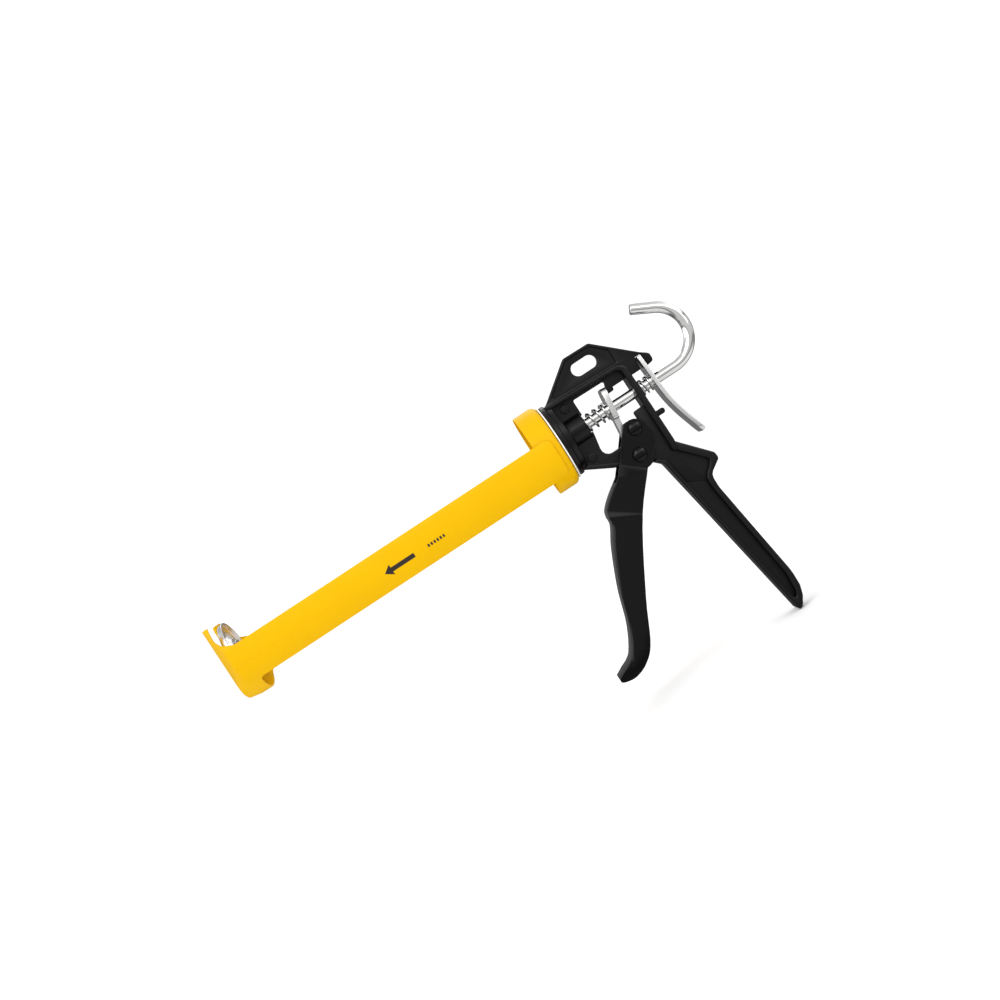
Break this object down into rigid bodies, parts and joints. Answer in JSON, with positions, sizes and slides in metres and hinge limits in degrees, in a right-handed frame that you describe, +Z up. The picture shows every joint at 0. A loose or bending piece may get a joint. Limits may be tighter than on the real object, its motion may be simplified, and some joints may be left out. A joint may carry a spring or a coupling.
{
  "type": "caulking gun",
  "caption": "Hand caulking gun with a turning half-open cartridge cradle, hooked push rod, squeeze trigger and thumb release.",
  "frame": {"origin": "middle of the length and of the thickness, at the level of the grip's lowest point", "axes": "+X from the nose to the hook along the push rod, +Y through the thickness, +Z up from the grip to the hanging plate"},
  "size_m": [0.3474, 0.0568, 0.2099],
  "materials": {
    "cradle_paint": "glossy yellow stoving paint on pressed steel",
    "casting_black": "satin black paint on an aluminium die casting",
    "trigger_black": "glossy black enamel on stamped steel",
    "rod_chrome": "bright chrome on ground bar",
    "zinc_plate": "bright zinc plate, faint rolling lines",
    "spring_steel": "bright drawn wire",
    "nylon_white": "natural white nylon"
  },
  "bodies": {
    "handle": {"handle_casting": "casting_black", "friction_washer": "nylon_white", "retainer_plate": "zinc_plate", "retainer_screw_1": "zinc_plate", "retainer_screw_2": "zinc_plate", "retainer_screw_3": "zinc_plate", "drive_spring": "spring_steel", "release_spring": "spring_steel", "trigger_pivot_rivet": "trigger_black"},
    "cradle": {"rear_ring": "cradle_paint", "cradle_frame": "cradle_paint"},
    "trigger": {"trigger": "trigger_black", "drive_rivet": "trigger_black", "drive_roller": "zinc_plate"},
    "jam_plate": {"drive_plate": "zinc_plate"},
    "piston": {"piston_disc": "zinc_plate"},
    "rod": {"push_rod": "rod_chrome", "piston_backing_washer": "zinc_plate", "piston_lock_washer": "spring_steel", "piston_nut": "zinc_plate"},
    "brake": {"release_lever": "zinc_plate"}
  },
  "joints": [
    {"name": "cradle_turn", "type": "hinge", "parent": "handle", "child": "cradle", "pos_m": [0.06471, 0, 0.1631], "axis": [1, 0, 0], "continuous": true},
    {"name": "trigger_squeeze", "type": "hinge", "parent": "handle", "child": "trigger", "pos_m": [0.10271, 0, 0.1303], "axis": [0, -1, 0], "range_deg": [0, 32], "stiffness_Nm_per_rad": 0.3, "springref_deg": -20.05},
    {"name": "jam_plate_slide", "type": "slide", "parent": "handle", "child": "jam_plate", "axis": [-1, 0, 0], "range_m": [0, 0.0092], "deforming": ["drive_spring"]},
    {"name": "piston_slide", "type": "slide", "parent": "handle", "child": "piston", "axis": [1, 0, 0], "range_m": [0, 0.215]},
    {"name": "rod_turn", "type": "hinge", "parent": "piston", "child": "rod", "pos_m": [-0.16229, 0, 0.1631], "axis": [1, 0, 0], "range_deg": [-150, 150]},
    {"name": "release_press", "type": "hinge", "parent": "handle", "child": "brake", "pos_m": [0.13441, 0, 0.1807], "axis": [0, 1, 0], "range_deg": [0, 5], "stiffness_Nm_per_rad": 0.5, "springref_deg": -8.59, "deforming": ["release_spring"]}
  ],
  "couplings": [
    {"joint": "jam_plate_slide", "follows": "trigger_squeeze", "m_per_rad": 0.016}
  ]
}
